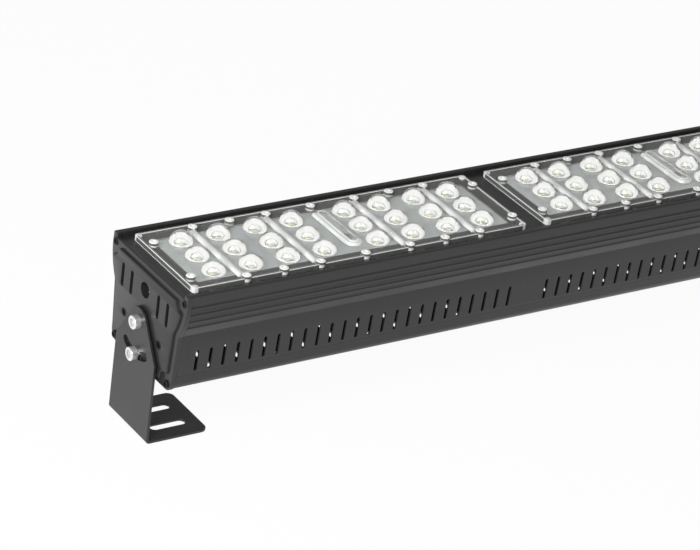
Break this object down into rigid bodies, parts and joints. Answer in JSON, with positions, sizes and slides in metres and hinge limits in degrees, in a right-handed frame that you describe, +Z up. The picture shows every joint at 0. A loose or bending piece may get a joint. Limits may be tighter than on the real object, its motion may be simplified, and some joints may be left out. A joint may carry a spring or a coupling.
{
  "type": "linear led light fixture",
  "caption": "Linear LED fixture: clear domed lens modules on a finned grey housing with vented sides, tilting between two slotted feet.",
  "frame": {"origin": "on the mounting plane under the feet, midway between the two feet and on the housing's centre line", "axes": "+X along the housing towards the end that the picture doesn't show, +Z up through the lens side, -Y towards the viewer's side"},
  "size_m": [0.623, 0.1052, 0.1376],
  "materials": {
    "grey_powder_coat": "aluminium under a satin dark grey powder coat",
    "bracket_powder_coat": "steel under the same satin dark grey powder coat",
    "clear_lens": "clear moulded plastic",
    "white_board": "white solder mask on aluminium",
    "pad_rubber": "soft grey pad",
    "phosphor": "yellow phosphor under clear resin",
    "black_rubber": "matte",
    "driver_case": "plain sheet aluminium",
    "cream_plastic": "moulded",
    "zinc_steel": "zinc plated",
    "black_steel": "black oxide",
    "stainless_steel": "bright stainless",
    "brass": "plain"
  },
  "bodies": {
    "feet": {"bracket_left": "bracket_powder_coat", "bracket_right": "bracket_powder_coat"},
    "housing": {"heat_sink": "grey_powder_coat", "side_panel_front": "grey_powder_coat", "side_panel_back": "grey_powder_coat", "bottom_tray": "grey_powder_coat", "driver_tray": "zinc_steel", "driver_tray_screws": "zinc_steel", "driver_screws": "zinc_steel", "terminal_block": "cream_plastic", "terminal_screws": "zinc_steel", "earth_screw": "brass", "lens_plate_1": "clear_lens", "led_board_1": "white_board", "thermal_pad_1": "pad_rubber", "led_chips_1": "phosphor", "wire_grommet_1": "black_rubber", "led_driver_1": "driver_case", "lens_plate_2": "clear_lens", "led_board_2": "white_board", "thermal_pad_2": "pad_rubber", "led_chips_2": "phosphor", "wire_grommet_2": "black_rubber", "led_driver_2": "driver_case", "end_plate_left": "grey_powder_coat", "end_plate_screws_left": "black_steel", "nut_plate_left": "zinc_steel", "nut_plate_screws_left": "black_steel", "pivot_bolt_left": "stainless_steel", "lock_bolt_left": "stainless_steel", "spacer_washers_left": "stainless_steel", "end_plate_right": "grey_powder_coat", "end_plate_screws_right": "black_steel", "nut_plate_right": "zinc_steel", "nut_plate_screws_right": "black_steel", "pivot_bolt_right": "stainless_steel", "lock_bolt_right": "stainless_steel", "spacer_washers_right": "stainless_steel"}
  },
  "joints": [
    {"name": "housing_tilt", "type": "hinge", "parent": "feet", "child": "housing", "pos_m": [0, 0, 0.0852], "axis": [1, 0, 0], "range_deg": [-30, 30]}
  ]
}
